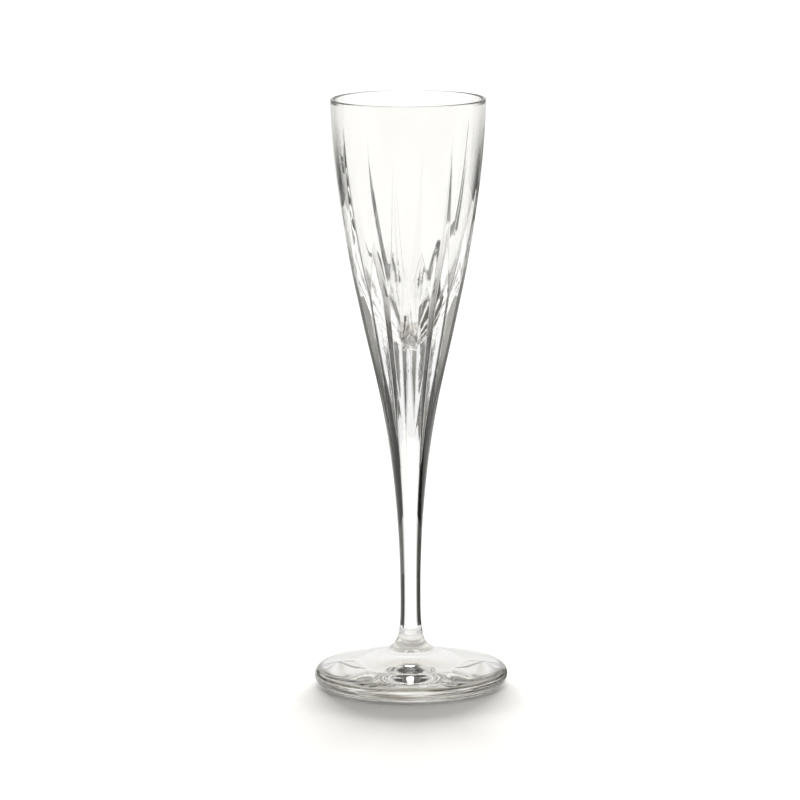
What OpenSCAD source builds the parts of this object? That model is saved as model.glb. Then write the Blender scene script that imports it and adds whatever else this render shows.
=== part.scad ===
// Cut crystal champagne flute, standing on the XY plane with its axis on Z.
// Four pieces of the same glass, welded face to face while hot: the blown
// bowl with its mitre cuts, the drawn stem, a small button and the foot.
// All lengths are in millimetres.

/* [Overall] */
// Height from the table to the rim
height = 235; // [225:1:245]
// Outer diameter of the rim
rim_d = 61.6; // [58:0.2:65]

/* [Bowl] */
// Thickness of the glass at the rim
rim_wall = 1.5; // [1.3:0.1:1.8]
// Height of the lowest point of the cavity
cavity_z = 136.5; // [134:0.5:140]
// Height of the weld between the bowl and the stem
bowl_weld_z = 88; // [84:0.5:88]
// Height at which the outline turns from hollow to bulging
turn_z = 127; // [122:0.5:131]
// Outer radius at that height
turn_r = 14; // [13.4:0.1:14.6]
// Growth of the radius per unit of height there
turn_slope = 0.241; // [0.22:0.001:0.26]

/* [Cuts] */
// Pairs of mitre cuts around the bowl, one long and one short in each
cut_pairs = 8; // [7:1:10]
// Angle between the two sides of a cut
cut_angle = 136; // [128:1:140]
// Turn of the whole pattern about the axis
cut_turn = 33.75; // [0:0.25:45]
// Height of the upper point of a long cut
long_top_z = 225; // [220:1:228]
// Height of the upper point of a short cut
short_top_z = 178; // [172:1:184]
// Height of the lower point of a long cut
long_foot_z = 91; // [89:0.5:96]
// Height of the lower point of a short cut
short_foot_z = 100; // [97:0.5:106]
// Height below which neighbouring cuts meet in a sharp ridge
meet_top_z = 158; // [152:1:162]
// Height above which they meet
meet_foot_z = 128; // [122:1:130]

/* [Stem] */
// Diameter of the stem at its waist
stem_d = 8; // [7.6:0.1:8.6]
// Height of the waist
waist_z = 36; // [32:1:40]

/* [Button] */
// Height of the weld between the stem and the button
button_top_z = 24; // [23:0.5:25]
// Diameter of that weld
button_top_d = 8.7; // [8.7:0.1:9]
// Height of the weld between the button and the foot
button_foot_z = 17.5; // [17:0.5:18]
// Diameter of that weld
button_foot_d = 11.7; // [11.2:0.1:12.2]

/* [Foot] */
// Diameter of the foot
foot_d = 77; // [72:0.5:82]
// Thickness of the foot's rounded edge
edge_t = 7.7; // [7:0.1:8.4]
// Slope of the foot's upper face in degrees
foot_slope = 14; // [12:0.5:15]
// Diameter of the polished hollow under the foot
hollow_d = 36; // [24:1:40]
// Depth of that hollow
hollow_depth = 1.6; // [0.8:0.1:1.8]

/* [Hidden] */
$fn = 96;

glass = "lightcyan";
rim_r = rim_d / 2;
rim_z = height - rim_wall / 2;
stem_r = stem_d / 2;
edge_r = edge_t / 2;

// Steps of each curve along the outline, and of the floor of a cut
outline_steps = 12;
cavity_steps = 16;
floor_steps = 12;

// Reach of the curve handles that shape the outline
rim_reach = 35;
shoulder_reach = 29;
taper_reach = 41.5;
waist_reach = 9;
rim_slope = 0.02;

// A point of a cubic curve through p[0] and p[3], pulled towards p[1] and p[2]
function curve_point(p, t) =
    pow(1 - t, 3) * p[0] + 3 * pow(1 - t, 2) * t * p[1]
    + 3 * (1 - t) * t * t * p[2] + pow(t, 3) * p[3];

function curve(p, steps) = [for (i = [0:steps]) curve_point(p, i / steps)];

// Points along an arc from one angle to another
function arc(centre, r, from, to, steps) =
    [for (i = [0:steps]) let (a = from + (to - from) * i / steps) centre + r * [cos(a), sin(a)]];

// The parameter at which a rising curve reaches height z, by halving
function curve_at(p, z, low = 0, high = 1, turns = 30) =
    turns == 0 ? (low + high) / 2
    : curve_point(p, (low + high) / 2)[1] < z
        ? curve_at(p, z, (low + high) / 2, high, turns - 1)
        : curve_at(p, z, low, (low + high) / 2, turns - 1);

// The outline from the stem's waist up to the turn, and from there to the rim
taper = [
    [stem_r, waist_z],
    [stem_r, waist_z + waist_reach],
    [turn_r - turn_slope * taper_reach, turn_z - taper_reach],
    [turn_r, turn_z]
];
shoulder = [
    [turn_r, turn_z],
    [turn_r + turn_slope * shoulder_reach, turn_z + shoulder_reach],
    [rim_r - rim_slope * rim_reach, rim_z - rim_reach],
    [rim_r, rim_z]
];

// Radius of the uncut outline at height z
function outer_r(z) =
    z < turn_z ? curve_point(taper, curve_at(taper, z))[0]
    : curve_point(shoulder, curve_at(shoulder, min(z, rim_z)))[0];

// The stretch of the outline between two heights, in even steps
function outline(low_z, high_z, steps) =
    [for (i = [0:steps]) let (z = low_z + (high_z - low_z) * i / steps) [outer_r(z), z]];

// The cavity, from the rim down to its lowest point on the axis
cavity = [
    [rim_r - rim_wall, rim_z],
    [rim_r - rim_wall - 0.7, 190],
    [13, cavity_z],
    [0, cavity_z]
];

cuts = 2 * cut_pairs;
half_pitch = 180 / cuts;

// Share of the full depth that a cut reaches at an even rate from its upper point
long_lead = 0.45;
short_lead = 0.9;

// Depth, as a share of the radius, at which two neighbouring cuts just meet
meet_depth = 1 - cos(half_pitch) + sin(half_pitch) / tan(cut_angle / 2);

// How near a cut is to its full depth at height z: 1 where neighbours meet and
// 0 at the cut's two points. Its upper end is a long point that opens at an
// even rate, and then widens quickly. Past its points the share is negative.
function cut_share(z, top_z, foot_z, lead) =
    let (t = (top_z - z) / (top_z - meet_top_z), u = (z - foot_z) / (meet_foot_z - foot_z))
    z > meet_top_z ? lead * t + (1 - lead) * pow(max(t, 0), 6)
    : z < meet_foot_z ? sign(u) * pow(abs(u), 0.9)
    : 1;

// Radius of the floor of a cut at height z
function floor_r(z, top_z, foot_z, lead) =
    outer_r(z) * (1 - meet_depth * cut_share(z, top_z, foot_z, lead));

// One side of a cut: everything beyond its floor, drawn out at half the cut's
// angle to the radius, towards side 1 or -1
module cut_side(top_z, foot_z, lead, side) {
    overrun = 3;
    clear_r = 60;
    spread = sin(cut_angle / 2);
    low_z = foot_z - overrun;
    high_z = top_z + overrun;
    floor_line = [
        for (i = [0:floor_steps])
            let (z = low_z + (high_z - low_z) * i / floor_steps)
            [spread * floor_r(z, top_z, foot_z, lead), z]
    ];
    rotate([0, 0, side * (90 - cut_angle / 2)])
        rotate([90, 0, 0])
            linear_extrude(clear_r, center = true)
                polygon(concat(floor_line, [[clear_r, high_z], [clear_r, low_z]]));
}

module cut(top_z, foot_z, lead) {
    intersection() {
        cut_side(top_z, foot_z, lead, 1);
        cut_side(top_z, foot_z, lead, -1);
    }
}

module bowl_blank() {
    lip_c = [rim_r - rim_wall / 2, rim_z];
    rotate_extrude()
        polygon(concat(
            [[0, bowl_weld_z]],
            outline(bowl_weld_z, rim_z, 2 * outline_steps),
            arc(lip_c, rim_wall / 2, 0, 180, 8),
            curve(cavity, cavity_steps)
        ));
}

module bowl() {
    color(glass, 0.5)
    difference() {
        bowl_blank();
        for (i = [0:cut_pairs - 1])
            rotate([0, 0, cut_turn + 360 * i / cut_pairs]) {
                cut(long_top_z, long_foot_z, long_lead);
                rotate([0, 0, 2 * half_pitch]) cut(short_top_z, short_foot_z, short_lead);
            }
    }
}

module stem() {
    color(glass, 0.5)
    rotate_extrude()
        polygon(concat(
            [[0, button_top_z], [button_top_d / 2, button_top_z]],
            outline(waist_z, bowl_weld_z, outline_steps),
            [[0, bowl_weld_z]]
        ));
}

module button() {
    swell = [
        [button_foot_d / 2, button_foot_z],
        [button_foot_d / 2 - 1, button_foot_z + 2],
        [button_top_d / 2 + 0.3, button_top_z - 2],
        [button_top_d / 2, button_top_z]
    ];
    color(glass, 0.6)
    rotate_extrude()
        polygon(concat([[0, button_foot_z]], curve(swell, 6), [[0, button_top_z]]));
}

module foot() {
    edge_c = [foot_d / 2 - edge_r, edge_r];
    edge_top = edge_c + edge_r * [sin(foot_slope), cos(foot_slope)];
    dome_r = 13;
    dome = [dome_r, edge_top[1] + (edge_top[0] - dome_r) * tan(foot_slope)];
    flare = [
        [button_foot_d / 2, button_foot_z],
        [button_foot_d / 2 + 1.3, button_foot_z - 1.9],
        dome + 3.5 * [-cos(foot_slope), sin(foot_slope)],
        dome
    ];
    hollow_r = (pow(hollow_d / 2, 2) + pow(hollow_depth, 2)) / (2 * hollow_depth);
    color(glass, 0.6)
    difference() {
        rotate_extrude()
            polygon(concat(
                [[0, button_foot_z]],
                curve(flare, 8),
                arc(edge_c, edge_r, 90 - foot_slope, 0, 6),
                arc(edge_c, edge_r, -15, -90, 5),
                [[0, 0]]
            ));
        translate([0, 0, hollow_depth - hollow_r]) sphere(hollow_r);
    }
}

bowl();
stem();
button();
foot();
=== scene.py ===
import math
import random

import bpy
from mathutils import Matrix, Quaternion, Vector


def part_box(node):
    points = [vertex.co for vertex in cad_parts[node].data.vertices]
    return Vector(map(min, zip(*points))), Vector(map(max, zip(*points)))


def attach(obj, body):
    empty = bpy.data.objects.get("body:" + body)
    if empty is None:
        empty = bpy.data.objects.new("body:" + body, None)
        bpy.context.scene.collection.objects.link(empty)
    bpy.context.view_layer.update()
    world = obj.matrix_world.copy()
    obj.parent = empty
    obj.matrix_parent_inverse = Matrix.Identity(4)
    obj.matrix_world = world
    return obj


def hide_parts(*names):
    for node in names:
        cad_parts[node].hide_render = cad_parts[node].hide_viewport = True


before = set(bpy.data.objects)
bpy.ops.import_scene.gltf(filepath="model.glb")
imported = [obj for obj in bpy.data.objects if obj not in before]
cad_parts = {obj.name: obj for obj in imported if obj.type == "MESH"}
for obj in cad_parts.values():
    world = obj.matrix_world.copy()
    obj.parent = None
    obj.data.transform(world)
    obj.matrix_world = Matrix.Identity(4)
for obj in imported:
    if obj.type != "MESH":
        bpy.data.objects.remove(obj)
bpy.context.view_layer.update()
MM = 0.001
rng = random.Random(11)

# ---------------------------------------------------------------- driving sizes

bowl_low, bowl_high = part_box("bowl")
button_low, button_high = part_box("button")
FOOT_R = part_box("foot")[1].x

# the outline bulges from the rim down to the turn, and from there curves in to the stem's waist
HEIGHT = bowl_high.z
RIM_R = bowl_high.x
RIM_WALL = 1.5 * MM
RIM_SLOPE = 0.02
LIP_Z = HEIGHT - RIM_WALL / 2
TURN_R, TURN_Z = 14 * MM, 127 * MM
TURN_SLOPE = 0.241
BOWL_WELD_Z = bowl_low.z
WAIST_R, WAIST_Z = 4 * MM, 36 * MM

# the cavity draws in from its shoulder down, and its rounded end has a look of its own: painted
# shade, a dark brown speckle in its colour and its reflections
CAVITY_Z = 136.5 * MM
CAVITY_R = 13 * MM
CAVITY_END_Z = 141.5 * MM
SHOULDER_Z = 190 * MM

# how far the handles of each curve reach from its two ends
RIM_REACH = 35 * MM
SHOULDER_REACH = 29 * MM
TAPER_REACH = 41.5 * MM
WAIST_REACH = 9 * MM
NECK_REACH = (3 * MM, 6 * MM)
SWELL_REACH = 2 * MM
FLARE_REACH = (1.9 * MM, 3.5 * MM)

BUTTON_TOP_Z, BUTTON_TOP_R = button_high.z, 4.35 * MM
BUTTON_FOOT_Z, BUTTON_FOOT_R = button_low.z, button_high.x

# the foot has a rounded edge streaked with painted shade, a cone that turns into a flare inside
# the dome's radius, and a hollow underneath with a matt ring in it, mottled with painted shade
EDGE_R = 3.85 * MM
FOOT_SLOPE = math.radians(14)
DOME_R = 13 * MM
HOLLOW_R = 18 * MM
HOLLOW_DEPTH = 1.6 * MM
RING_R = (11 * MM, 17.5 * MM)

CUT_PAIRS = 8
CUT_ANGLE = math.radians(136)
CUT_TURN = math.radians(33.75)
LONG_TOP_Z, SHORT_TOP_Z = 225 * MM, 178 * MM
LONG_FOOT_Z, SHORT_FOOT_Z = 91 * MM, 100 * MM
MEET_TOP_Z, MEET_FOOT_Z = 158 * MM, 128 * MM

# the share of its depth that a cut reaches at an even rate from its upper point, the power by
# which it reaches the rest, and the power by which it closes towards its lower point
LONG_LEAD, SHORT_LEAD = 0.45, 0.9
WIDENING_POWER = 6
CLOSING_POWER = 0.9

# how far hand cutting strays: in degrees, in millimetres, and in shares of the depth
TURN_STRAY = 0.5
TOP_STRAY = 3
FOOT_STRAY = 2.5
DEPTH_STRAY = (0.97, 1.05)

# how finely each piece is divided round its axis and along its outline
STEM_COLUMNS = 128
FOOT_COLUMNS = 192
BOWL_ROW = 1.0 * MM
LIP_STEPS = 12
CAVITY_STEPS = 90
STEM_ROWS = 52
FLARE_STEPS = 24
NECK_STEPS = 12
EDGE_STEPS = 44
HOLLOW_STEPS = 18
SLOPE_STEPS = 16
BEARING_STEPS = 8

# ---------------------------------------------------------------- outline curves


def curve_point(p, t):
    """A point of the cubic curve with the four handles p."""
    s = 1 - t
    weights = (s**3, 3 * s * s * t, 3 * s * t * t, t**3)
    return tuple(sum(w * value for w, value in zip(weights, axis)) for axis in zip(*p))


def curve(p, steps):
    """Points along the cubic curve with the four handles p."""
    return [curve_point(p, i / steps) for i in range(steps + 1)]


def arc(centre, r, start, stop, steps):
    """Points round a centre, from one angle in degrees to another."""
    angles = [math.radians(start + (stop - start) * i / steps) for i in range(steps + 1)]
    return [(centre[0] + r * math.cos(a), centre[1] + r * math.sin(a)) for a in angles]


TAPER = (
    (WAIST_R, WAIST_Z),
    (WAIST_R, WAIST_Z + WAIST_REACH),
    (TURN_R - TURN_SLOPE * TAPER_REACH, TURN_Z - TAPER_REACH),
    (TURN_R, TURN_Z),
)
SHOULDER = (
    (TURN_R, TURN_Z),
    (TURN_R + TURN_SLOPE * SHOULDER_REACH, TURN_Z + SHOULDER_REACH),
    (RIM_R - RIM_SLOPE * RIM_REACH, LIP_Z - RIM_REACH),
    (RIM_R, LIP_Z),
)
CAVITY = (
    (RIM_R - RIM_WALL, LIP_Z),
    (RIM_R - RIM_WALL - RIM_SLOPE * RIM_REACH, SHOULDER_Z),
    (CAVITY_R, CAVITY_Z),
    (0.0, CAVITY_Z),
)


def outer_r(z):
    """Radius of the uncut outline at height z, above the stem's waist."""
    handles = TAPER if z < TURN_Z else SHOULDER
    low, high = 0.0, 1.0
    for _ in range(32):
        mid = (low + high) / 2
        if curve_point(handles, mid)[1] < z:
            low = mid
        else:
            high = mid
    return curve_point(handles, (low + high) / 2)[0]


# ---------------------------------------------------------------- mesh building

# the material slots of every piece, then the bowl's own and the foot's own
SURFACE, WELD = 0, 1
GROUND, CAVITY_END = 2, 3
SHADED_GROUND_RING, ROUNDED_EDGE = 2, 3

# lengths and radii below this count as nothing
TINY = 1e-7


class Shell:
    """Collects the vertices and faces of one mesh, with the material slot of each face."""

    def __init__(self):
        self.points, self.faces, self.looks = [], [], []

    def vertex(self, x, y, z):
        self.points.append((x, y, z))
        return len(self.points) - 1

    def face(self, ids, look=SURFACE):
        """A face with repeated vertices left out, unless nothing is left of it."""
        kept = [v for i, v in enumerate(ids) if v != ids[i - 1]]
        if len(set(kept)) == len(kept) and len(kept) > 2:
            self.faces.append(kept)
            self.looks.append(look)

    def ring(self, radius, z, angles):
        """The vertices of a circle, or of an arc, at height z."""
        return [self.vertex(radius * math.cos(a), radius * math.sin(a), z) for a in angles]

    def band(self, below, above, looks):
        """Faces between two rings with the same number of vertices, with a look for each."""
        n = len(below)
        for i in range(n):
            j = (i + 1) % n
            self.face([below[i], below[j], above[j], above[i]], looks[i])

    def cap(self, ring, centre, look, upward):
        """A fan from a ring to its centre."""
        n = len(ring)
        for i in range(n):
            pair = [ring[i], ring[(i + 1) % n]]
            self.face((pair if upward else pair[::-1]) + [centre], look)

    def build(self, name, materials):
        """The finished object. Its weld faces are flat and the rest of it is smooth."""
        mesh = bpy.data.meshes.new(name)
        mesh.from_pydata(self.points, [], self.faces)
        for material in materials:
            mesh.materials.append(material)
        mesh.polygons.foreach_set("material_index", self.looks)
        mesh.polygons.foreach_set("use_smooth", [look != WELD for look in self.looks])
        mesh.update()
        self.sharpen(mesh)
        obj = bpy.data.objects.new(name, mesh)
        bpy.context.scene.collection.objects.link(obj)
        return obj

    def sharpen(self, mesh):
        """Marks the edges round the weld faces, so that they don't bend the shading beside them."""
        welded = set()
        for polygon in mesh.polygons:
            if polygon.material_index == WELD:
                welded.update(polygon.edge_keys)
        for edge in mesh.edges:
            if edge.key in welded:
                edge.use_edge_sharp = True


def plain_look(a, b):
    """The look of a piece that is the same all over its outside."""
    return SURFACE


def lathe(name, outline, columns, materials, weld_heights, look_between=plain_look):
    """A closed body of revolution. The outline starts and ends on the axis and runs up the outside.

    Its flat faces at the weld heights are welds. Elsewhere look_between gives the look of the
    faces between two points of the outline."""
    shell = Shell()
    angles = [2 * math.pi * i / columns for i in range(columns)]
    rings = [
        [shell.vertex(0, 0, z)] if r < TINY else shell.ring(r, z, angles)
        for r, z in outline
    ]
    for (below, above), (a, b) in zip(zip(rings, rings[1:]), zip(outline, outline[1:])):
        welded = a[1] == b[1] and any(abs(a[1] - z) < TINY for z in weld_heights)
        look = WELD if welded else look_between(a, b)
        if len(below) == 1:
            shell.cap(above, below[0], look, upward=False)
        elif len(above) == 1:
            shell.cap(below, above[0], look, upward=True)
        else:
            shell.band(below, above, [look] * columns)
    return shell.build(name, materials)


# ---------------------------------------------------------------- the cut bowl

HALF_PITCH = math.pi / (2 * CUT_PAIRS)
COT = 1 / math.tan(CUT_ANGLE / 2)

# the depth, as a share of the radius, at which two neighbouring cuts just meet
MEET_DEPTH = 1 - math.cos(HALF_PITCH) + math.sin(HALF_PITCH) * COT

# a cut's floor past its two points, as a share of the radius: just clear of the blank
CLEAR_OF_BLANK = 1.001


class Cut:
    """One hand-ground mitre cut: a straight groove with a V section."""

    def __init__(self, number):
        is_long = number % 2 == 0
        stray = math.radians(rng.uniform(-TURN_STRAY, TURN_STRAY))
        self.angle = CUT_TURN + 2 * HALF_PITCH * number + stray
        stray = rng.uniform(-TOP_STRAY, TOP_STRAY) * MM
        self.top = (LONG_TOP_Z if is_long else SHORT_TOP_Z) + stray
        stray = rng.uniform(-FOOT_STRAY, FOOT_STRAY) * MM
        self.foot = (LONG_FOOT_Z if is_long else SHORT_FOOT_Z) + stray
        self.lead = LONG_LEAD if is_long else SHORT_LEAD
        self.depth = MEET_DEPTH * rng.uniform(*DEPTH_STRAY)

    def floor(self, z, r):
        """Radius of the groove's floor at height z, where the outline's radius is r.

        It has its full depth where neighbours meet. It opens at an even rate from its upper
        point and then widens quickly, and it closes almost evenly towards its lower point."""
        if z >= self.top or z <= self.foot:
            return r * CLEAR_OF_BLANK
        share = 1.0
        if z > MEET_TOP_Z:
            t = (self.top - z) / (self.top - MEET_TOP_Z)
            share = self.lead * t + (1 - self.lead) * t**WIDENING_POWER
        elif z < MEET_FOOT_Z:
            share = ((z - self.foot) / (MEET_FOOT_Z - self.foot)) ** CLOSING_POWER
        return r * (1 - self.depth * share)


def groove_r(floor, turn):
    """Radius of a groove's side at an angle from its centre."""
    return floor / (math.cos(turn) - abs(math.sin(turn)) * COT)


def groove_half_width(floor, r):
    """The angle from a groove's centre at which its side comes out at radius r."""
    if floor >= r:
        return 0.0
    return math.acos(floor / r / math.hypot(1, COT)) - math.atan(COT)


def ridge_angle(floor_a, angle_a, floor_b, angle_b):
    """The angle between two grooves at which their sides cross."""
    low, high = angle_a, angle_b
    for _ in range(24):
        mid = (low + high) / 2
        if groove_r(floor_a, mid - angle_a) < groove_r(floor_b, angle_b - mid):
            low = mid
        else:
            high = mid
    return (low + high) / 2


def soft_min(a, b, blend):
    """The smaller of two radii, rounded where they cross."""
    h = max(blend - abs(a - b), 0) / blend
    return min(a, b) - h * h * blend / 4


# how far the edges and floors of the cuts are rounded, and the width of the columns beside them
EDGE_ROUND = 0.10 * MM
EDGE_BAND = 0.22 * MM

# columns of faces on each side of a groove's floor, and on the land beside it
GROOVE_COLUMNS = 5
LAND_COLUMNS = 3

# neighbours round a ring that are closer than this become one vertex
SAME_POINT = 0.004 * MM


def half_sector(width, reach, r):
    """Angles from a groove's floor to the middle of the land beside it. They bound the columns
    of the groove's side, narrow next to the floor and the edge, and then those of the land."""
    band = EDGE_BAND / r
    step = min(band, width / 3)
    rise = width - 2 * step
    inner = [0, step, step + rise / 3, step + 2 * rise / 3, width - step, width]
    land = reach - width
    step = min(band, land / 3)
    return inner + [width + step, width + (land + step) / 2, reach]


def bowl_ring(shell, cuts, z):
    """A ring of the cut outside, with vertices on the floors, edges and ridges of the cuts."""
    n = len(cuts)
    r = outer_r(z)
    angles = [cuts[-1].angle - 2 * math.pi, *(c.angle for c in cuts), cuts[0].angle + 2 * math.pi]
    floors = [cuts[i % n].floor(z, r) for i in range(-1, n + 1)]
    ridges = [ridge_angle(floors[i], angles[i], floors[i + 1], angles[i + 1]) for i in range(n + 1)]
    ring, last = [], None
    for i in range(1, n + 1):
        width = groove_half_width(floors[i], r)
        before, after = angles[i] - ridges[i - 1], ridges[i] - angles[i]
        left = half_sector(min(width, before), before, r)
        right = half_sector(min(width, after), after, r)
        for turn in [-a for a in left[:0:-1]] + right[:-1]:
            angle = angles[i] + turn
            beside = i - 1 if turn < 0 else i + 1
            side = groove_r(floors[i], turn)
            other = groove_r(floors[beside], angle - angles[beside])
            radius = soft_min(r, soft_min(side, other, EDGE_ROUND), EDGE_ROUND)
            if last is not None and abs(angle - last) * r < SAME_POINT:
                ring.append(ring[-1])
            else:
                ring.append(shell.vertex(radius * math.cos(angle), radius * math.sin(angle), z))
            last = angle
    return ring


def make_bowl(materials):
    """The bowl: its cut outside from the weld up to the rim, the rounded lip and the cavity."""
    cuts = [Cut(i) for i in range(2 * CUT_PAIRS)]
    rows = round((LIP_Z - BOWL_WELD_Z) / BOWL_ROW)
    shell = Shell()
    rings = [
        bowl_ring(shell, cuts, BOWL_WELD_Z + (LIP_Z - BOWL_WELD_Z) * i / rows)
        for i in range(rows + 1)
    ]
    # both sides of a groove are ground, and the land that is left between grooves is blown
    land = [SURFACE] * LAND_COLUMNS
    looks = (land + [GROUND] * 2 * GROOVE_COLUMNS + land) * len(cuts)
    for below, above in zip(rings, rings[1:]):
        shell.band(below, above, looks)
    shell.cap(rings[0], shell.vertex(0, 0, BOWL_WELD_Z), WELD, upward=False)

    top = rings[-1]
    angles = [math.atan2(shell.points[v][1], shell.points[v][0]) for v in top]
    lip = arc((RIM_R - RIM_WALL / 2, LIP_Z), RIM_WALL / 2, 0, 180, LIP_STEPS)
    last = top
    for r, z in lip[1:] + curve(CAVITY, CAVITY_STEPS)[1:-1]:
        made, ring = {}, []
        for v, a in zip(top, angles):
            if v not in made:
                made[v] = shell.vertex(r * math.cos(a), r * math.sin(a), z)
            ring.append(made[v])
        # the faces of the cavity's rounded end get its painted shade
        look = CAVITY_END if z < CAVITY_END_Z else SURFACE
        shell.band(last, ring, [look] * len(ring))
        last = ring
    shell.cap(last, shell.vertex(0, 0, CAVITY_Z), CAVITY_END, upward=True)
    return shell.build("bowl_glass", materials)


# ---------------------------------------------------------------- materials

CRYSTAL_IOR = 1.545
WHITE = (1, 1, 1)

# tints: two that clear glass wanders between, and two painted edge shades that it darkens to
# where it is seen nearly along its surface, standing for the dark surroundings its edges show
CLEAR = ((0.920, 0.921, 0.918), (0.940, 0.941, 0.939))
EDGE_SHADE_BLACK = (0.006, 0.0057, 0.005)
EDGE_SHADE_GREY = (0.10, 0.097, 0.09)

# the unevenness of drawn and blown glass, in waves per metre, which runs down it
STRIAE = (60, 60, 9)

# the stretches of the noise over which the tint and the roughness change
TINT_STRETCH = (0.35, 0.65)
POLISH_STRETCH = (0.3, 0.7)

# the painted edge shade is as on the stem below this height, and as near the rim above the shoulder
NECK_Z = 115 * MM

# where the painted edge shade starts and stops: 0 is seen square on, and 1 is seen along the surface
STEM_EDGE = (0.12, 0.27)
RIM_EDGE = (0.58, 0.93)
CUT_EDGE = (0.35, 0.75)
FOOT_EDGE = (0.72, 1.0)


def new_material(name):
    """An empty node material, with its nodes and links."""
    material = bpy.data.materials.new(name)
    material.use_nodes = True
    nodes = material.node_tree.nodes
    nodes.clear()
    return material, nodes, material.node_tree.links


def add(nodes, kind, **values):
    """A new node, with values for its inputs or its settings."""
    node = nodes.new(kind)
    for key, value in values.items():
        if key in node.inputs:
            node.inputs[key].default_value = value
        else:
            setattr(node, key, value)
    return node


def mix_colour(nodes, links, factor, first, second):
    """A colour between two, each a tuple or an output of another node."""
    mix = add(nodes, "ShaderNodeMix", data_type="RGBA")
    ends = [socket for socket in mix.inputs if socket.type == "RGBA"]
    for socket, value in zip(ends, (first, second)):
        if isinstance(value, tuple):
            socket.default_value = (*value, 1)
        else:
            links.new(value, socket)
    links.new(factor, mix.inputs["Factor"])
    return [socket for socket in mix.outputs if socket.type == "RGBA"][0]


def map_range(nodes, links, value, limits, result, smooth=False):
    """A value brought from one range to another, at an even rate or smoothly."""
    node = add(nodes, "ShaderNodeMapRange")
    if smooth:
        node.interpolation_type = "SMOOTHSTEP"
    for name, number in zip(("From Min", "From Max", "To Min", "To Max"), (*limits, *result)):
        node.inputs[name].default_value = number
    links.new(value, node.inputs["Value"])
    return node.outputs["Result"]


def noise(nodes, links, coords, grain):
    """Noise in the object's own space, with its grain for each axis in waves per metre."""
    stretch = add(nodes, "ShaderNodeMapping")
    stretch.inputs["Scale"].default_value = grain
    striae = add(nodes, "ShaderNodeTexNoise")
    striae.inputs["Scale"].default_value = 1.0
    striae.inputs["Detail"].default_value = 3.0
    links.new(coords.outputs["Object"], stretch.inputs["Vector"])
    links.new(stretch.outputs["Vector"], striae.inputs["Vector"])
    return striae.outputs["Fac"]


def grazing_share(nodes, links, height, edge):
    """How nearly along its surface the glass is seen, from 0 to 1, between the limits in edge."""
    facing = add(nodes, "ShaderNodeLayerWeight")
    facing.inputs["Blend"].default_value = 0.5
    grazing = add(nodes, "ShaderNodeMapRange")
    grazing.interpolation_type = "SMOOTHSTEP"
    links.new(facing.outputs["Facing"], grazing.inputs["Value"])
    for socket, ends in zip(("From Min", "From Max"), zip(*edge)):
        links.new(map_range(nodes, links, height, (0, 1), ends), grazing.inputs[socket])
    return grazing.outputs["Result"]


def crystal(name, edge, painted_edge_shades, roughness, ripple, grain=STRIAE, body=CLEAR, mirror=WHITE):
    """Lead crystal, with an unevenness of its own grain in its tint, its polish and its surface.

    Its tint wanders between the two in body, its roughness between two values, and its surface
    by the height of ripple. Its reflections off the outside have the tint of mirror. It darkens
    towards painted_edge_shades where it is seen nearly along its surface, a painted shade for the
    dark surroundings that its edges show: edge holds where that starts and ends, first near the
    stem and then near the rim, and painted_edge_shades holds a shade for each."""
    material, nodes, links = new_material(name)
    out = add(nodes, "ShaderNodeOutputMaterial")
    glass = add(nodes, "ShaderNodeBsdfPrincipled")
    glass.inputs["Transmission Weight"].default_value = 1.0
    glass.inputs["IOR"].default_value = CRYSTAL_IOR
    glass.inputs["Specular Tint"].default_value = (*mirror, 1)
    coords = add(nodes, "ShaderNodeTexCoord")
    streak = noise(nodes, links, coords, grain)
    patchy = map_range(nodes, links, streak, TINT_STRETCH, (0, 1), smooth=True)
    clear = mix_colour(nodes, links, patchy, *body)

    axes = add(nodes, "ShaderNodeSeparateXYZ")
    links.new(coords.outputs["Object"], axes.inputs["Vector"])
    height = map_range(nodes, links, axes.outputs["Z"], (NECK_Z, SHOULDER_Z), (0, 1), smooth=True)
    # painted shade: the colour darkens towards the edge shade where the glass is seen nearly along
    # its surface
    grazing = grazing_share(nodes, links, height, edge)
    tint = mix_colour(nodes, links, height, *painted_edge_shades)
    links.new(mix_colour(nodes, links, grazing, clear, tint), glass.inputs["Base Color"])

    polish = map_range(nodes, links, streak, POLISH_STRETCH, roughness)
    links.new(polish, glass.inputs["Roughness"])
    bump = add(nodes, "ShaderNodeBump")
    bump.inputs["Strength"].default_value = 1.0
    bump.inputs["Distance"].default_value = ripple
    links.new(streak, bump.inputs["Height"])
    links.new(bump.outputs["Normal"], glass.inputs["Normal"])
    links.new(glass.outputs["BSDF"], out.inputs["Surface"])
    return material


def weld_material():
    """The faces where two pieces are fused: light passes as if they weren't there."""
    material, nodes, links = new_material("fused_weld")
    out = add(nodes, "ShaderNodeOutputMaterial")
    clear = add(nodes, "ShaderNodeBsdfTransparent")
    links.new(clear.outputs["BSDF"], out.inputs["Surface"])
    return material


# every crystal below darkens towards a painted edge shade where it is seen nearly along its surface
blown = crystal("blown_crystal", (STEM_EDGE, RIM_EDGE), (EDGE_SHADE_BLACK, EDGE_SHADE_GREY), (0.0, 0.006), 0.004 * MM)
ground = crystal(
    "cut_crystal", (STEM_EDGE, CUT_EDGE), (EDGE_SHADE_BLACK, EDGE_SHADE_GREY), (0.0, 0.05), 0.06 * MM,
    grain=(600, 600, 260),
)
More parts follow.
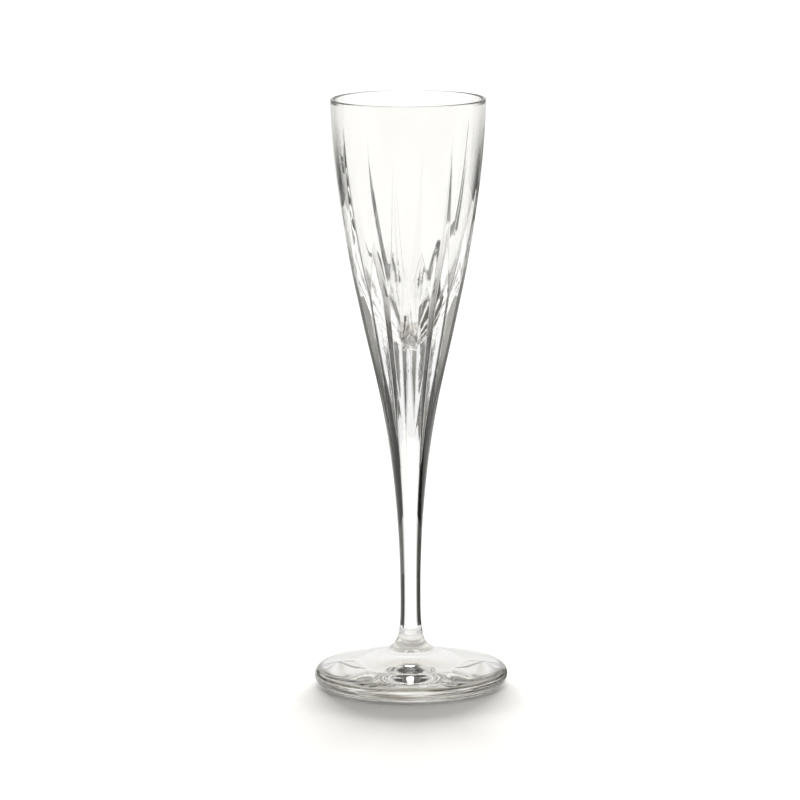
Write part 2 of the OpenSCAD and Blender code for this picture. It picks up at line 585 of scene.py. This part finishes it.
# painted shade: a dark brown speckle in the colour and the reflections of the cavity's rounded end,
# for the shadowed floor and foot seen through it
shaded_cavity_end = crystal(
    "cavity_end_painted_shade", (CUT_EDGE, CUT_EDGE), (EDGE_SHADE_BLACK, EDGE_SHADE_GREY), (0.0, 0.06), 0.06 * MM,
    grain=(1100, 1100, 1100),
    body=((0.20, 0.15, 0.10), (0.90, 0.88, 0.84)),
    mirror=(0.22, 0.19, 0.14),
)
drawn = crystal("drawn_crystal", (STEM_EDGE, STEM_EDGE), (EDGE_SHADE_BLACK, EDGE_SHADE_BLACK), (0.0, 0.006), 0.004 * MM)
button_glass = crystal(
    "button_crystal", (RIM_EDGE, RIM_EDGE), (EDGE_SHADE_GREY, EDGE_SHADE_GREY), (0.0, 0.006), 0.006 * MM,
)
pressed = crystal(
    "pressed_crystal", (FOOT_EDGE, FOOT_EDGE), (EDGE_SHADE_GREY, EDGE_SHADE_GREY), (0.0, 0.008), 0.015 * MM,
    grain=(140, 140, 140),
)
# a rougher ring, with painted shade: dark brown mottling in its colour and its reflections
shaded_ground_ring = crystal(
    "ground_ring_crystal", (FOOT_EDGE, FOOT_EDGE), (EDGE_SHADE_GREY, EDGE_SHADE_GREY), (0.02, 0.16), 0.05 * MM,
    grain=(420, 420, 420),
    body=((0.42, 0.35, 0.25), (0.90, 0.88, 0.84)),
    mirror=(0.36, 0.28, 0.18),
)
# painted shade: dark streaks round the foot's rounded edge, for the dark arcs the edge shows of its
# surroundings
shade_streaked_edge = crystal(
    "foot_edge_painted_shade", (FOOT_EDGE, FOOT_EDGE), (EDGE_SHADE_GREY, EDGE_SHADE_GREY), (0.0, 0.02), 0.03 * MM,
    grain=(70, 70, 900),
    body=((0.25, 0.235, 0.20), (0.90, 0.895, 0.88)),
)
weld = weld_material()

# ---------------------------------------------------------------- the four pieces


def make_stem():
    """The stem: a neck that opens towards the button, and the outline's taper up to the bowl."""
    neck = (
        (BUTTON_TOP_R, BUTTON_TOP_Z),
        (WAIST_R + 0.05 * MM, BUTTON_TOP_Z + NECK_REACH[0]),
        (WAIST_R, WAIST_Z - NECK_REACH[1]),
        (WAIST_R, WAIST_Z),
    )
    heights = [WAIST_Z + (BOWL_WELD_Z - WAIST_Z) * i / STEM_ROWS for i in range(1, STEM_ROWS + 1)]
    outline = [
        (0.0, BUTTON_TOP_Z),
        *curve(neck, NECK_STEPS),
        *((outer_r(z), z) for z in heights),
        (0.0, BOWL_WELD_Z),
    ]
    return lathe("stem_glass", outline, STEM_COLUMNS, [drawn, weld], (BUTTON_TOP_Z, BOWL_WELD_Z))


def make_button():
    """The button: a small swelling between the stem and the foot."""
    swell = (
        (BUTTON_FOOT_R, BUTTON_FOOT_Z),
        (BUTTON_FOOT_R - 1.0 * MM, BUTTON_FOOT_Z + SWELL_REACH),
        (BUTTON_TOP_R + 0.3 * MM, BUTTON_TOP_Z - SWELL_REACH),
        (BUTTON_TOP_R, BUTTON_TOP_Z),
    )
    outline = [(0.0, BUTTON_FOOT_Z), *curve(swell, FLARE_STEPS), (0.0, BUTTON_TOP_Z)]
    looks = [button_glass, weld]
    return lathe("button_glass", outline, STEM_COLUMNS, looks, (BUTTON_TOP_Z, BUTTON_FOOT_Z))


# the middle of the foot's rounded edge, and the point where its upper face starts
EDGE_CENTRE = (FOOT_R - EDGE_R, EDGE_R)
EDGE_TOP = (
    EDGE_CENTRE[0] + EDGE_R * math.sin(FOOT_SLOPE),
    EDGE_CENTRE[1] + EDGE_R * math.cos(FOOT_SLOPE),
)


def even_points(a, b, steps):
    """The points that divide the line from a to b into even steps, without its ends."""
    shares = [i / steps for i in range(1, steps)]
    return [(a[0] + (b[0] - a[0]) * t, a[1] + (b[1] - a[1]) * t) for t in shares]


def foot_look(a, b):
    """The look of the foot's faces between two points of its outline."""
    # the matt ring, with its painted shade
    if b[1] <= HOLLOW_DEPTH and RING_R[0] < (a[0] + b[0]) / 2 < RING_R[1]:
        return SHADED_GROUND_RING
    # the rounded edge, streaked with painted shade
    if min(a[0], b[0]) > EDGE_CENTRE[0] - TINY and max(a[1], b[1]) < EDGE_TOP[1]:
        return ROUNDED_EDGE
    return SURFACE


def make_foot():
    """The foot: a hollow and a flat ring under it, a rounded edge, and a cone up to the button."""
    dome = (DOME_R, EDGE_TOP[1] + (EDGE_TOP[0] - DOME_R) * math.tan(FOOT_SLOPE))
    upper_reach, lower_reach = FLARE_REACH
    flare = (
        (BUTTON_FOOT_R, BUTTON_FOOT_Z),
        (BUTTON_FOOT_R + 1.3 * MM, BUTTON_FOOT_Z - upper_reach),
        (dome[0] - lower_reach * math.cos(FOOT_SLOPE), dome[1] + lower_reach * math.sin(FOOT_SLOPE)),
        dome,
    )
    ball = (HOLLOW_R**2 + HOLLOW_DEPTH**2) / (2 * HOLLOW_DEPTH)
    spread = math.degrees(math.asin(HOLLOW_R / ball))
    outline = [
        (0.0, HOLLOW_DEPTH),
        *arc((0, HOLLOW_DEPTH - ball), ball, 90, 90 - spread, HOLLOW_STEPS)[1:],
        *even_points((HOLLOW_R, 0.0), (EDGE_CENTRE[0], 0.0), BEARING_STEPS),
        *arc(EDGE_CENTRE, EDGE_R, -90, 90 - math.degrees(FOOT_SLOPE), EDGE_STEPS),
        *even_points(EDGE_TOP, dome, SLOPE_STEPS),
        *curve(flare, FLARE_STEPS)[::-1],
        (0.0, BUTTON_FOOT_Z),
    ]
    looks = [pressed, weld, shaded_ground_ring, shade_streaked_edge]
    return lathe("foot_glass", outline, FOOT_COLUMNS, looks, (BUTTON_FOOT_Z,), foot_look)


for piece, node, slot in (
    (make_bowl([blown, weld, ground, shaded_cavity_end]), "bowl", "bowl_crystal"),
    (make_stem(), "stem", "stem_crystal"),
    (make_button(), "button", "stem_crystal"),
    (make_foot(), "foot", "foot_crystal"),
):
    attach(piece, "root")
    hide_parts(node)

# ---------------------------------------------------------------- stage

# the floor, and the glowing disc of painted light on it, lie just below the foot
FLOOR_Z = -0.05 * MM
GLOW_DISC_Z = -0.03 * MM

# cards stand this far round from straight behind the glass, and half their width is this angle
CARD_HEADING = math.radians(42)
CARD_SPREAD = math.radians(18)

# radii of the painted shade on the floor: dark cards seen only in the glass
SHADE_STRIP_R = (42 * MM, 250 * MM)

# the studio's colours
HORIZON = (1.0, 1.0, 1.0)
CEILING_FRONT = (0.15, 0.147, 0.135)
CEILING_BACK = (0.85, 0.83, 0.77)
ZENITH = (0.2, 0.197, 0.185)

# where the colours blend, up from level at 0 to overhead at 1, and from the front at -1 to the
# back at 1
HORIZON_BLEND = (0.16, 0.42)
ZENITH_BLEND = (0.62, 0.9)
CEILING_BLEND = (-0.6, 0.6)


def plane(name, width, depth, location, rotation=(0, 0, 0)):
    """A flat rectangle of the stage."""
    mesh = bpy.data.meshes.new(name)
    w, d = width / 2, depth / 2
    mesh.from_pydata([(-w, -d, 0), (w, -d, 0), (w, d, 0), (-w, d, 0)], [], [(0, 1, 2, 3)])
    obj = bpy.data.objects.new(name, mesh)
    obj.location = location
    obj.rotation_euler = rotation
    bpy.context.scene.collection.objects.link(obj)
    return obj


def sector(name, inner, outer, start, stop, steps=24):
    """A flat part of a ring round the foot. Headings are in degrees from straight behind it."""
    shell = Shell()
    angles = [math.radians(90 - start - (stop - start) * i / steps) for i in range(steps + 1)]
    near, far = shell.ring(inner, 0, angles), shell.ring(outer, 0, angles)
    for i in range(steps):
        shell.face([near[i], far[i], far[i + 1], near[i + 1]])
    obj = shell.build(name, [])
    return obj


def floor_material():
    """Matt pale paper with a barely visible grain."""
    material, nodes, links = new_material("pale_floor")
    out = add(nodes, "ShaderNodeOutputMaterial")
    matt = add(nodes, "ShaderNodeBsdfPrincipled")
    matt.inputs["Specular IOR Level"].default_value = 0.1
    coords = add(nodes, "ShaderNodeTexCoord")
    grain = add(nodes, "ShaderNodeTexNoise")
    grain.inputs["Scale"].default_value = 900
    links.new(coords.outputs["Object"], grain.inputs["Vector"])
    pale, paler = (0.93, 0.925, 0.915), (0.94, 0.935, 0.925)
    links.new(mix_colour(nodes, links, grain.outputs["Fac"], pale, paler), matt.inputs["Base Color"])
    rough = map_range(nodes, links, grain.outputs["Fac"], (0, 1), (0.6, 0.8))
    links.new(rough, matt.inputs["Roughness"])
    links.new(matt.outputs["BSDF"], out.inputs["Surface"])
    return material


def card_material(name, shade, fading=None):
    """Dark card. It fades out between two heights where they are given."""
    material, nodes, links = new_material(name)
    out = add(nodes, "ShaderNodeOutputMaterial")
    matt = add(nodes, "ShaderNodeBsdfDiffuse")
    matt.inputs["Color"].default_value = (*shade, 1)
    if fading is None:
        links.new(matt.outputs["BSDF"], out.inputs["Surface"])
        return material
    place = add(nodes, "ShaderNodeNewGeometry")
    axes = add(nodes, "ShaderNodeSeparateXYZ")
    links.new(place.outputs["Position"], axes.inputs["Vector"])
    rise = map_range(nodes, links, axes.outputs["Z"], fading, (0, 1), smooth=True)
    air = add(nodes, "ShaderNodeBsdfTransparent")
    fade = add(nodes, "ShaderNodeMixShader")
    links.new(rise, fade.inputs[0])
    links.new(matt.outputs["BSDF"], fade.inputs[1])
    links.new(air.outputs["BSDF"], fade.inputs[2])
    links.new(fade.outputs["Shader"], out.inputs["Surface"])
    return material


def under_foot_glow():
    """Painted light: a pale glow, as bright as the floor is under clear glass, with no lamp behind
    it.
    """
    material, nodes, links = new_material("under_foot_painted_light")
    out = add(nodes, "ShaderNodeOutputMaterial")
    glow = add(nodes, "ShaderNodeEmission")
    glow.inputs["Color"].default_value = (0.97, 0.965, 0.95, 1)
    links.new(glow.outputs["Emission"], out.inputs["Surface"])
    return material


def only_seen_in_glass(obj, material):
    """Sets up a card that is there only to be seen in the glass."""
    obj.data.materials.append(material)
    obj.visible_camera = False
    obj.visible_diffuse = False
    obj.visible_shadow = False


def side_card(name, side, distance, height, fade, shade):
    """An upright card to one side, behind the glass. It fades out from a share of its height up."""
    heading = side * CARD_HEADING
    width = 2 * distance * math.tan(CARD_SPREAD)
    place = (distance * math.sin(heading), distance * math.cos(heading), height / 2)
    card = plane(name, width, height, place, (math.radians(90), 0, -heading))
    colour = (shade, 0.98 * shade, 0.92 * shade)
    only_seen_in_glass(card, card_material(name, colour, (fade * height, height)))


def studio_world():
    """A white horizon all round under a grey ceiling, darker over the camera's side and overhead."""
    world = bpy.data.worlds.new("studio")
    world.use_nodes = True
    nodes, links = world.node_tree.nodes, world.node_tree.links
    coords = add(nodes, "ShaderNodeTexCoord")
    axes = add(nodes, "ShaderNodeSeparateXYZ")
    links.new(coords.outputs["Generated"], axes.inputs["Vector"])
    height = map_range(nodes, links, axes.outputs["Z"], HORIZON_BLEND, (0, 1), smooth=True)
    behind = map_range(nodes, links, axes.outputs["Y"], CEILING_BLEND, (0, 1), smooth=True)
    ceiling = mix_colour(nodes, links, behind, CEILING_FRONT, CEILING_BACK)
    top = map_range(nodes, links, axes.outputs["Z"], ZENITH_BLEND, (0, 1), smooth=True)
    vault = mix_colour(nodes, links, top, ceiling, ZENITH)
    sky = mix_colour(nodes, links, height, HORIZON, vault)
    links.new(sky, nodes["Background"].inputs["Color"])
    nodes["Background"].inputs["Strength"].default_value = 1.0
    bpy.context.scene.world = world


studio_world()
floor = plane("floor", 60, 60, (0, 0, FLOOR_Z))
floor.data.materials.append(floor_material())

# what the glass bends into view from beside it: near cards, paler ones far behind them, and
# painted shade: dark cards on the floor, seen only in the glass
for side, label, far_shade in ((-1, "left", 0.40), (1, "right", 0.28)):
    side_card(f"card_{label}", side, distance=0.65, height=0.16, fade=0.35, shade=0.07)
    side_card(f"far_card_{label}", side, distance=2.0, height=0.5, fade=0.55, shade=far_shade)
# painted shade: dark sectors on the evenly lit floor, seen only in the glass
dark = card_material("painted_floor_shade", (0.06, 0.052, 0.04))
only_seen_in_glass(sector("floor_shade_card_right", *SHADE_STRIP_R, start=28, stop=112), dark)
only_seen_in_glass(sector("floor_shade_card_left", *SHADE_STRIP_R, start=-160, stop=-112), dark)

# painted light: a glowing disc, seen only in the glass, stands for the floor as it is lit through
# the foot, seen through the flat ring that the foot stands on
GLOW_DISC_R = (0.1 * MM, EDGE_CENTRE[0] + 2 * MM)
paper = sector("under_foot_glow_disc", *GLOW_DISC_R, start=-180, stop=180)
paper.location = (0, 0, GLOW_DISC_Z)
only_seen_in_glass(paper, under_foot_glow())

# ---------------------------------------------------------------- lights and camera


def sun_lamp(name, power, spread, direction, seen):
    """A soft sun lamp that shines along direction. The glass shows it only if it is seen."""
    data = bpy.data.lights.new(name, "SUN")
    data.energy = power
    data.angle = math.radians(spread)
    lamp = bpy.data.objects.new(name, data)
    lamp.rotation_euler = Vector(direction).to_track_quat("-Z", "Y").to_euler()
    lamp.visible_transmission = seen
    lamp.visible_glossy = seen
    bpy.context.scene.collection.objects.link(lamp)


sun_lamp("overhead", 0.5, 26, (-0.05, -0.34, -0.94), seen=True)
for number, swing in enumerate((-14, 0, 14)):
    heading = math.radians(swing)
    direction = (math.sin(heading), -math.cos(heading), -0.15)
    sun_lamp(f"backlight_{number}", 4.9, 15, direction, seen=False)

CAMERA_ELEVATION = math.radians(9.65)
CAMERA_DISTANCE = 2.01
CAMERA_ROLL = math.radians(-0.3)
CAMERA_AIM = Vector((-0.0038, 0, 0.1148))

camera_data = bpy.data.cameras.new("camera")
camera_data.sensor_width = 36
camera_data.lens = 228
camera_data.clip_end = 60
camera = bpy.data.objects.new("camera", camera_data)
back = Vector((0, -math.cos(CAMERA_ELEVATION), math.sin(CAMERA_ELEVATION)))
camera.location = CAMERA_AIM + back * CAMERA_DISTANCE
camera.rotation_mode = "QUATERNION"
look = (-back).to_track_quat("-Z", "Y")
look.rotate(Quaternion(back, CAMERA_ROLL))
camera.rotation_quaternion = look
bpy.context.scene.collection.objects.link(camera)
bpy.context.scene.camera = camera

# the floor's white stays white
scene = bpy.context.scene
scene.view_settings.view_transform = "Standard"

# enough bounces for light to pass through every wall of the glass
scene.cycles.max_bounces = 24
scene.cycles.transmission_bounces = 20
scene.cycles.glossy_bounces = 12
scene.cycles.transparent_max_bounces = 24
